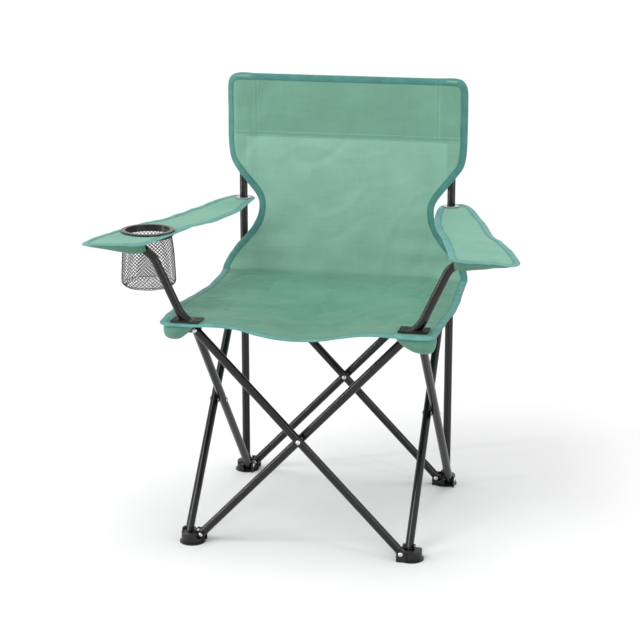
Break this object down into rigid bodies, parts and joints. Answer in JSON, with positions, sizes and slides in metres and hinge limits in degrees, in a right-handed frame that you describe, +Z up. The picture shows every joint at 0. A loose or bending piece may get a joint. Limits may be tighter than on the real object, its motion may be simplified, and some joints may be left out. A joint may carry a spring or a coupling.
{
  "type": "folding camp chair",
  "caption": "Folding camp chair with crossed tube legs, sliding rear brackets, sling seat and back, fabric armrests and a mesh cup holder.",
  "frame": {"origin": "on the floor, under the middle of the chair's overall box", "axes": "+X to the right as seen from the front, -Y towards the front, +Z up"},
  "size_m": [0.8, 0.506, 0.836],
  "materials": {
    "black_tube": "semi-gloss black powder coat on steel tube",
    "black_plastic": "satin moulded black nylon",
    "rivet_steel": "bright zinc-plated steel",
    "nylon": "white nylon washer",
    "cup_plastic": "satin moulded black plastic",
    "mesh": "black knitted polyester mesh",
    "cloth": "sea-green woven polyester, teal bound edges",
    "armrest_cloth": "sea-green woven polyester, teal bound edges"
  },
  "bodies": {
    "front_right_foot": {"foot_front_right": "black_plastic", "foot_rivets_front_right": "rivet_steel"},
    "left_arm_leg": {"front_tube_left_arm": "black_tube", "arm_plug_left": "black_plastic", "corner_plate_left": "black_plastic", "cross_rivet_front": "rivet_steel", "cross_washer_front": "nylon"},
    "right_arm_leg": {"front_tube_right_arm": "black_tube", "arm_plug_right": "black_plastic", "corner_plate_right": "black_plastic"},
    "front_left_foot": {"foot_front_left": "black_plastic", "foot_rivets_front_left": "rivet_steel"},
    "left_corner": {"corner_bracket_left": "black_plastic", "corner_rivets_left": "rivet_steel"},
    "right_corner": {"corner_bracket_right": "black_plastic", "corner_rivets_right": "rivet_steel"},
    "left_outer_leg": {"left_tube_outer": "black_tube", "cross_rivet_left": "rivet_steel", "cross_washer_left": "nylon"},
    "left_inner_leg": {"left_tube_inner": "black_tube"},
    "left_slider": {"slider_left": "black_plastic", "slider_rivets_left": "rivet_steel"},
    "right_inner_leg": {"right_tube_inner": "black_tube", "cross_rivet_right": "rivet_steel", "cross_washer_right": "nylon"},
    "right_outer_leg": {"right_tube_outer": "black_tube"},
    "right_slider": {"slider_right": "black_plastic", "slider_rivets_right": "rivet_steel"},
    "rear_right_post": {"foot_rear_right": "black_plastic", "foot_rivets_rear_right": "rivet_steel", "upright_right": "black_tube", "upright_cap_right": "black_plastic"},
    "rear_inner_leg": {"rear_tube_inner": "black_tube", "cross_rivet_rear": "rivet_steel", "cross_washer_rear": "nylon"},
    "rear_outer_leg": {"rear_tube_outer": "black_tube"},
    "rear_left_post": {"foot_rear_left": "black_plastic", "foot_rivets_rear_left": "rivet_steel", "upright_left": "black_tube", "upright_cap_left": "black_plastic", "back_panel": "cloth"},
    "seat_left_half": {"seat_left": "cloth", "corner_pocket_left": "cloth"},
    "seat_right_half": {"seat_right": "cloth", "corner_pocket_right": "cloth"},
    "left_armrest": {"armrest_left": "armrest_cloth", "cup_ring": "cup_plastic", "cup_clamp_ring": "cup_plastic", "cup_basket": "mesh"},
    "right_armrest": {"armrest_right": "armrest_cloth"},
    "left_armrest_eyelet": {"armrest_eyelet_left": "rivet_steel"},
    "right_armrest_eyelet": {"armrest_eyelet_right": "rivet_steel"}
  },
  "joints": [
    {"name": "fold", "type": "hinge", "parent": "front_right_foot", "child": "left_arm_leg", "pos_m": [0.194, -0.212, 0.015], "axis": [0, 1, 0], "range_deg": [0, 36.6]},
    {"name": "front_cross", "type": "hinge", "parent": "left_arm_leg", "child": "right_arm_leg", "pos_m": [0, -0.2035, 0.218], "axis": [0, 1, 0], "range_deg": [-73.21, 0]},
    {"name": "front_left_foot_pivot", "type": "hinge", "parent": "right_arm_leg", "child": "front_left_foot", "pos_m": [-0.194, -0.195, 0.015], "axis": [0, 1, 0], "range_deg": [0, 36.61]},
    {"name": "left_corner_pivot", "type": "hinge", "parent": "left_arm_leg", "child": "left_corner", "pos_m": [-0.194, -0.212, 0.421], "axis": [0, 1, 0], "range_deg": [-36.61, 0]},
    {"name": "right_corner_pivot", "type": "hinge", "parent": "right_arm_leg", "child": "right_corner", "pos_m": [0.194, -0.195, 0.421], "axis": [0, 1, 0], "range_deg": [0, 36.61]},
    {"name": "left_outer_leg_pivot", "type": "hinge", "parent": "front_left_foot", "child": "left_outer_leg", "pos_m": [-0.221, -0.185, 0.015], "axis": [1, 0, 0], "range_deg": [0, 36.61]},
    {"name": "left_cross", "type": "hinge", "parent": "left_outer_leg", "child": "left_inner_leg", "pos_m": [-0.2125, 0.009, 0.218], "axis": [1, 0, 0], "range_deg": [-73.21, 0]},
    {"name": "left_slider_pivot", "type": "hinge", "parent": "left_outer_leg", "child": "left_slider", "pos_m": [-0.221, 0.203, 0.421], "axis": [1, 0, 0], "range_deg": [-36.61, 0]},
    {"name": "right_inner_leg_pivot", "type": "hinge", "parent": "front_right_foot", "child": "right_inner_leg", "pos_m": [0.204, -0.185, 0.015], "axis": [1, 0, 0], "range_deg": [0, 36.61]},
    {"name": "right_cross", "type": "hinge", "parent": "right_inner_leg", "child": "right_outer_leg", "pos_m": [0.2125, 0.009, 0.218], "axis": [1, 0, 0], "range_deg": [-73.21, 0]},
    {"name": "right_slider_pivot", "type": "hinge", "parent": "right_inner_leg", "child": "right_slider", "pos_m": [0.204, 0.203, 0.421], "axis": [1, 0, 0], "range_deg": [-36.61, 0]},
    {"name": "rear_right_foot_pivot", "type": "hinge", "parent": "right_outer_leg", "child": "rear_right_post", "pos_m": [0.221, 0.203, 0.015], "axis": [1, 0, 0], "range_deg": [0, 36.61]},
    {"name": "rear_inner_leg_pivot", "type": "hinge", "parent": "rear_right_post", "child": "rear_inner_leg", "pos_m": [0.194, 0.213, 0.015], "axis": [0, 1, 0], "range_deg": [0, 36.61]},
    {"name": "rear_cross", "type": "hinge", "parent": "rear_inner_leg", "child": "rear_outer_leg", "pos_m": [0, 0.2215, 0.218], "axis": [0, 1, 0], "range_deg": [-73.21, 0]},
    {"name": "rear_left_foot_pivot", "type": "hinge", "parent": "rear_outer_leg", "child": "rear_left_post", "pos_m": [-0.194, 0.23, 0.015], "axis": [0, 1, 0], "range_deg": [0, 36.61], "deforming": ["back_panel"]},
    {"name": "left_armrest_slide", "type": "slide", "parent": "rear_left_post", "child": "left_armrest_eyelet", "axis": [0, 0, 1], "range_m": [0, 0.0205]},
    {"name": "right_armrest_slide", "type": "slide", "parent": "rear_right_post", "child": "right_armrest_eyelet", "axis": [0, 0, 1], "range_m": [0, 0.0205]},
    {"name": "seat_left_fold", "type": "hinge", "parent": "left_corner", "child": "seat_left_half", "pos_m": [-0.207, -0.2035, 0.438], "axis": [0, 1, 0], "range_deg": [0, 76.01], "deforming": ["seat_left", "corner_pocket_left"]},
    {"name": "seat_right_fold", "type": "hinge", "parent": "right_corner", "child": "seat_right_half", "pos_m": [0.207, -0.2035, 0.438], "axis": [0, 1, 0], "range_deg": [-76.01, 0], "deforming": ["seat_right", "corner_pocket_right"]},
    {"name": "left_armrest_fold", "type": "hinge", "parent": "left_arm_leg", "child": "left_armrest", "pos_m": [-0.29113, -0.212, 0.57463], "axis": [-0.94, 0.1741, -0.2935], "range_deg": [0, 50.74], "deforming": ["armrest_left"]},
    {"name": "right_armrest_fold", "type": "hinge", "parent": "right_arm_leg", "child": "right_armrest", "pos_m": [0.29113, -0.195, 0.57463], "axis": [-0.9343, -0.1804, 0.3074], "range_deg": [0, 54.8], "deforming": ["armrest_right"]}
  ],
  "couplings": [
    {"joint": "front_cross", "follows": "fold", "ratio": -2},
    {"joint": "front_left_foot_pivot", "follows": "fold", "ratio": 1},
    {"joint": "left_corner_pivot", "follows": "fold", "ratio": -1},
    {"joint": "right_corner_pivot", "follows": "fold", "ratio": 1},
    {"joint": "left_outer_leg_pivot", "follows": "fold", "ratio": 1},
    {"joint": "left_cross", "follows": "fold", "ratio": -2},
    {"joint": "left_slider_pivot", "follows": "fold", "ratio": -1},
    {"joint": "right_inner_leg_pivot", "follows": "fold", "ratio": 1},
    {"joint": "right_cross", "follows": "fold", "ratio": -2},
    {"joint": "right_slider_pivot", "follows": "fold", "ratio": -1},
    {"joint": "rear_right_foot_pivot", "follows": "fold", "ratio": 1},
    {"joint": "rear_inner_leg_pivot", "follows": "fold", "ratio": 1},
    {"joint": "rear_cross", "follows": "fold", "ratio": -2},
    {"joint": "rear_left_foot_pivot", "follows": "fold", "ratio": 1},
    {"joint": "left_armrest_slide", "follows": "fold", "m_per_rad": 0.031309},
    {"joint": "right_armrest_slide", "follows": "fold", "m_per_rad": 0.031309},
    {"joint": "seat_left_fold", "follows": "fold", "ratio": 2.0765},
    {"joint": "seat_right_fold", "follows": "fold", "ratio": -2.0765},
    {"joint": "left_armrest_fold", "follows": "fold", "ratio": 1.3862},
    {"joint": "right_armrest_fold", "follows": "fold", "ratio": 1.497}
  ]
}
